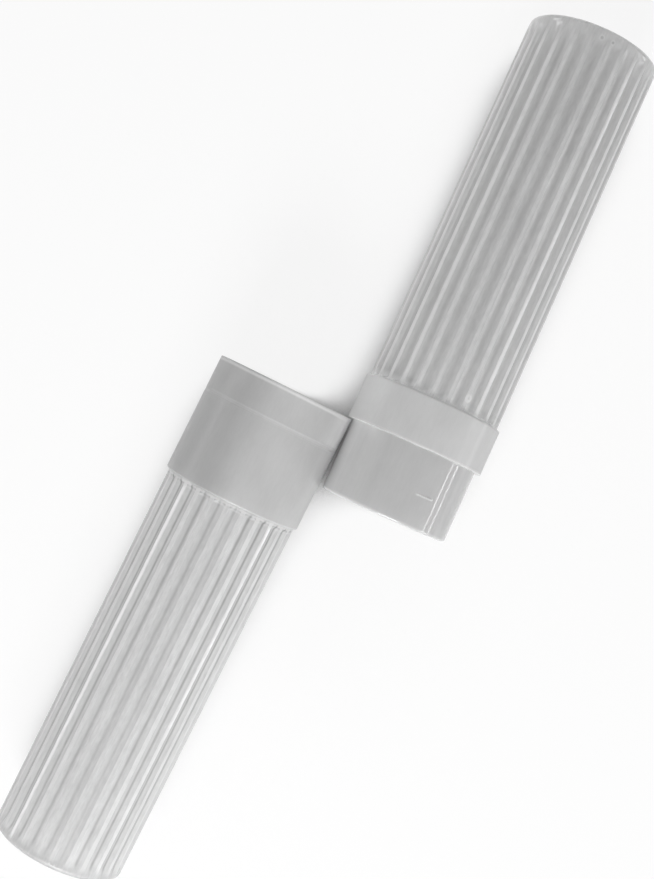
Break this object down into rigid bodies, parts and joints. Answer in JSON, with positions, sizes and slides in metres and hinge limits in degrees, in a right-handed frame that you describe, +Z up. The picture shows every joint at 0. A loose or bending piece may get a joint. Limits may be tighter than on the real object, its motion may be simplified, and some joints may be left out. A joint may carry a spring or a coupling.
{
  "type": "toothbrush holder",
  "caption": "Ribbed travel tube for a toothbrush in milky translucent plastic: a base with a socket collar, and its pull-off cap lying beside it.",
  "frame": {"origin": "on the floor that both halves lie on, under the middle of the box round the two", "axes": "+Y along the base tube towards its open mouth, +Z up, +X to the side where the cap lies"},
  "size_m": [0.065, 0.2202, 0.0334],
  "materials": {
    "base_plastic": "satin, milky and translucent",
    "cap_plastic": "satin, milky and translucent"
  },
  "bodies": {
    "base": {"base_tube": "base_plastic"},
    "cap": {"cap_tube": "cap_plastic"}
  },
  "joints": [
    {"name": "cap_pull", "type": "slide", "parent": "base", "child": "cap", "axis": [-0.0393, 0.9992, 0], "range_m": [0, 0.025]}
  ]
}
